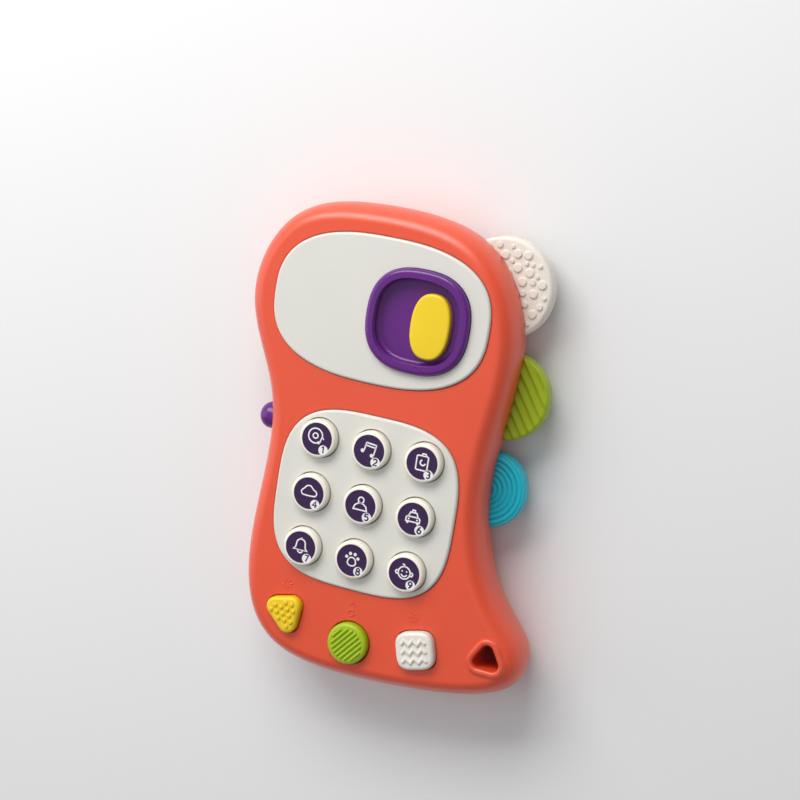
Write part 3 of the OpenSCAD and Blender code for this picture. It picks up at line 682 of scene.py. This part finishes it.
stem_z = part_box("key_5")[0].z / MM
cap_profile = [(3, stem_z), (3, SKIN_Z - 1.3), (KEY_R + 1, SKIN_Z - 1.3), (KEY_R + 1, SKIN_Z - 0.2),
               (KEY_R, SKIN_Z - 0.2)]
cap_profile += [(KEY_R - CAP_ROUND * (1 - math.cos(a)), KEY_TOP - CAP_ROUND * (1 - math.sin(a)))
                for a in quarter(8)]
for number, p in enumerate(key_places, 1):
    body = f"key_{number}"
    finish_piece(lathe(f"keycap_{number}", cap_profile, p), KEYCAP, body, [f"key_{number}"])
    base = lathe("base", [(PRINT_R, KEY_TOP - 0.05), (PRINT_R, PRINT_Z)])
    printed = shift(join(f"key_print_{number}", [base, digit(number)]), p)
    finish_piece(printed, PRINT, body)
    spot = dot(*SPOT_AT, SPOT_R)
    icon = shift(join(f"key_icon_{number}", [spot] + ICONS[number - 1]()), p)
    finish_piece(icon, PRINT_LIGHT, body)

# ---------------------------------------------------------------- shaped buttons


def button(name, points, relief):
    return join(name, [soft_plate("cap", points, SKIN_Z - 0.9, BUTTON_TOP, 1.2)] + relief)


def bump(x, y, r, base, height, n):
    rings = [(r, base - 0.3), (r, base)]
    rings += [(r * (0.55 + 0.45 * math.cos(a)), base + height * math.sin(a)) for a in quarter(5)[1:]]
    return lathe("bump", rings, (x, y), n)


def inside(p, points, margin):
    """True where p lies in the outline, at least margin from its edge."""
    a = inset(points, margin)
    b = np.roll(a, -1, 0)
    return bool((((b - a)[:, 0] * (p[1] - a[:, 1]) - (b - a)[:, 1] * (p[0] - a[:, 0])) < 0).all())


DOT_R, DOT_HEIGHT, DOT_STEP, DOT_TURN = 0.74, 0.52, (2.2, 1.9), 54
dots = []
for row in range(-4, 5):
    for column in range(-4, 5):
        p = turned(DOT_STEP[0] * (column + 0.5 * (row % 2)), DOT_STEP[1] * row, DOT_TURN, TRIANGLE_AT)
        if inside(p, triangle_outline, 1.6):
            dots.append(bump(p[0], p[1], DOT_R, BUTTON_TOP, DOT_HEIGHT, 20))
dotted = button("dotted_button", triangle_outline, dots)
finish_piece(dotted, YELLOW, "triangle_button", ["triangle_button"])

RIDGE_STEP, RIDGE_WIDTH, RIDGE_TURN = 1.38, 0.92, 50
bars = []
for k in range(-3, 5):
    off = RIDGE_STEP * (k - 0.5)
    half = math.sqrt((ROUND_R - 1.4) ** 2 - off ** 2)
    bars.append(sweep([turned(u, off, RIDGE_TURN, ROUND_AT) for u in (-half, half)],
                      ridge_profile(RIDGE_WIDTH, BUTTON_TOP, 0.55), round_ends=RIDGE_WIDTH / 2))
ridged = button("ridged_button", circle(ROUND_R, 96, ROUND_AT), bars)
finish_piece(ridged, GREEN, "round_button", ["round_button"])

ZIGZAG_STEP, ZIGZAG_SWING, ZIGZAG_ROWS, ZIGZAG_WIDTH = 1.45, 0.75, 2.9, 1.2
bars = []
for row in (-1, 0, 1):
    points = [turned(ZIGZAG_STEP * (k - 3), ZIGZAG_ROWS * row + (ZIGZAG_SWING if k % 2 else -ZIGZAG_SWING),
                     SQUARE_TURN, SQUARE_AT) for k in range(7)]
    bars.append(sweep(points, ridge_profile(ZIGZAG_WIDTH, BUTTON_TOP, 0.55), round_ends=ZIGZAG_WIDTH / 2))
zigzag = button("zigzag_button", square_outline, bars)
finish_piece(zigzag, WHITE, "square_button", ["square_button"])

DOME_DEPTH, COLLAR_OUT, COLLAR_IN = 4.0, -35.2, -34.2
tip = (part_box("side_button")[0].x - DATUM.x) / MM
dome = [(SIDE_R * math.sin(a), tip + DOME_DEPTH * (1 - math.cos(a)))
        for a in np.radians(np.linspace(3, 90, 16))]
dome += [(SIDE_R, COLLAR_OUT), (SIDE_R + 1, COLLAR_OUT), (SIDE_R + 1, COLLAR_IN)]
side_dome = loft("side_dome", [side_ring(r, x, 64) for r, x in dome])
finish_piece(side_dome, PURPLE, "side_button", ["side_button"])

# ---------------------------------------------------------------- teether discs

BUMP_RISE = 0.55
BUMP_SIZES = ((1.45, 60), (1.05, 160), (0.68, 900))     # radius and how many places are tried
BUMP_GAP = 0.45
RIDGE_PERIOD, RIDGE_RELIEF, RIDGE_ANGLE = 2.7, 0.7, math.radians(34.5)
RING_PERIOD, RING_RELIEF = 1.65, 0.5


def disc(name, i, relief, n, m):
    """Disc whose faces carry the relief height relief(x, y, r), cut straight across inside the housing."""
    half, unit = DISC_T / 2, circle(1.0, n)
    radii = np.linspace(0.4, DISC_R[i] - DISC_EDGE, m)
    levels = [(r, -half, -1.0) for r in radii] + disc_profile(DISC_R[i], half)[1:-1]
    levels += [(r, half, 1.0) for r in radii[::-1]]
    rings = [np.column_stack([unit * r, [z + lean * relief(x, y, r) for x, y in unit * r]])
             for r, z, lean in levels]
    ob = loft(name, [placed(points, i) for points in rings])
    a = math.radians(DISC_TURN[i])
    direction = Vector((math.cos(a), math.sin(a), 0))
    at = Vector(world([(*DISC_AT[i], 0)])[0].tolist()) - direction * DISC_TONGUE[i] * MM
    bm = bmesh.new()
    bm.from_mesh(ob.data)
    cut = bmesh.ops.bisect_plane(bm, geom=bm.verts[:] + bm.edges[:] + bm.faces[:], plane_co=at,
                                 plane_no=direction, clear_inner=True)
    edges = [e for e in cut["geom_cut"] if isinstance(e, bmesh.types.BMEdge)]
    bmesh.ops.contextual_create(bm, geom=edges)
    bmesh.ops.recalc_face_normals(bm, faces=bm.faces)
    bm.to_mesh(ob.data)
    bm.free()
    return ob


def scattered(r_out, x_low, seed):
    """Places for bumps of three sizes, clear of each other, of the rim and of the straight cut at x_low."""
    draw = random.Random(seed)
    found = []
    for size, count in BUMP_SIZES:
        for _ in range(count):
            a, r = draw.uniform(0, 2 * math.pi), r_out * math.sqrt(draw.random())
            x, y = r * math.cos(a), r * math.sin(a)
            if r + size > r_out or x - size < x_low:
                continue
            if all(math.hypot(x - q[0], y - q[1]) > size + q[2] + BUMP_GAP for q in found):
                found.append((x, y, size))
    return found


def smooth_face(x, y, r):
    return 0.0


def ridges(x, y, r):
    u = (x * math.cos(RIDGE_ANGLE) + y * math.sin(RIDGE_ANGLE)) / RIDGE_PERIOD
    return RIDGE_RELIEF * (0.5 - abs(math.sin(math.pi * u)))


def rings_relief(x, y, r):
    return RING_RELIEF * (abs(math.sin(math.pi * r / RING_PERIOD)) ** 0.8 - 0.6)


white_disc = disc("bumpy_teether", 0, smooth_face, 144, 6)
bumps = []
for s in (-1, 1):
    for x, y, r in scattered(DISC_R[0] - DISC_EDGE - 0.1, 0.3 - DISC_TONGUE[0], 11):
        profile = [(r * 1.04, -0.3), (r * 1.04, 0), (r * 0.97, 0.3), (r * 0.86, 0.48), (r * 0.70, BUMP_RISE)]
        rings = [np.column_stack([circle(q, 20, (x, y)), np.full(20, s * (DISC_T / 2 + z))])
                 for q, z in profile]
        bumps.append(loft("bump", [placed(points, 0) for points in rings]))
combine(white_disc, [join("bumps", bumps)], "UNION")
finish_piece(white_disc, SOFT_WHITE, "housing", ["bump_teether"])

SOFT_SHARP = 60                 # the relief of the soft discs stays smooth up to this angle
green_disc = disc("ridged_teether", 1, ridges, 160, 60)
finish_piece(green_disc, SOFT_GREEN, "housing", ["ridge_teether"], SOFT_SHARP)
cyan_disc = disc("ringed_teether", 2, rings_relief, 120, 84)
finish_piece(cyan_disc, SOFT_CYAN, "housing", ["ring_teether"], SOFT_SHARP)

# ---------------------------------------------------------------- CAD nodes that stay

KEPT = {"slider_plate": PURPLE, "slider_guide": GREY, "slider_switch": BLACK, "side_switch": BLACK,
        "key_mat": SILICONE, "circuit_board": BOARD, "board_components": BLACK, "board_screws": STEEL,
        "speaker_frame": GREY,
        "speaker_cone": CONE, "battery_door_screw": STEEL, "battery_1": SLEEVE, "battery_2": SLEEVE,
        "battery_3": SLEEVE, "battery_springs": NICKEL, "battery_contacts": NICKEL, "shell_screws": STEEL,
        "battery_wires": WIRE_RED, "speaker_wires": WIRE_BLACK}
for name, mat in KEPT.items():
    node = frame["nodes"][name]
    if not node.material_slots:
        node.data.materials.append(mat)
    for holder in node.material_slots:
        holder.material = mat

# ---------------------------------------------------------------- floor, light and camera

FLOOR_HALF, FLOOR_Z = 4.0, -0.0002              # metres
floor_material = bpy.data.materials.new("floor")
floor_material.use_nodes = True
floor_shader = floor_material.node_tree.nodes["Principled BSDF"]
floor_shader.inputs["Base Color"].default_value = (0.80, 0.80, 0.80, 1)
floor_shader.inputs["Roughness"].default_value = 0.9
floor = bpy.data.objects.new("floor", bpy.data.meshes.new("floor"))
corners = [(FLOOR_HALF * x, FLOOR_HALF * y, FLOOR_Z) for x, y in ((-1, -1), (1, -1), (1, 1), (-1, 1))]
floor.data.from_pydata(corners, [], [(0, 1, 2, 3)])
floor.data.materials.append(floor_material)
bpy.context.scene.collection.objects.link(floor)


LIGHT_AIM = Vector((0, 0, 0.01))


def area_light(name, at, size, watts, colour=(1, 1, 1)):
    """Rectangular lamp at a place in metres, turned to the phone."""
    lamp = bpy.data.lights.new(name, "AREA")
    lamp.shape, lamp.size, lamp.size_y = "RECTANGLE", size[0], size[1]
    lamp.energy, lamp.color = watts, colour
    ob = bpy.data.objects.new(name, lamp)
    ob.location = at
    ob.rotation_euler = (LIGHT_AIM - Vector(at)).to_track_quat("-Z", "Y").to_euler()
    bpy.context.scene.collection.objects.link(ob)


area_light("window", (-0.25, 0.62, 0.50), (0.80, 0.40), 7.2, (1.0, 0.98, 0.96))
area_light("left", (-0.75, 0.0, 0.45), (0.5, 0.8), 1.6)
area_light("overhead", (0.1, -0.1, 1.3), (1.2, 1.2), 1.6)

world_light = bpy.data.worlds.new("studio")
bpy.context.scene.world = world_light
world_light.use_nodes = True
world_light.node_tree.nodes["Background"].inputs["Color"].default_value = (0.92, 0.95, 1.0, 1)
world_light.node_tree.nodes["Background"].inputs["Strength"].default_value = 0.32
bpy.context.scene.view_settings.view_transform = "Standard"

camera = bpy.data.objects.new("camera", bpy.data.cameras.new("camera"))
camera.data.lens = 84.95
camera.data.sensor_width = 36.0
camera.location = (0.19359, 0.12529, 0.57410)
camera.rotation_euler = Euler([math.radians(v) for v in (-7.2039, 20.6026, 9.5186)], "XYZ")
camera.data.shift_x = 0.0016
camera.data.clip_start = 0.01
bpy.context.scene.collection.objects.link(camera)
bpy.context.scene.camera = camera
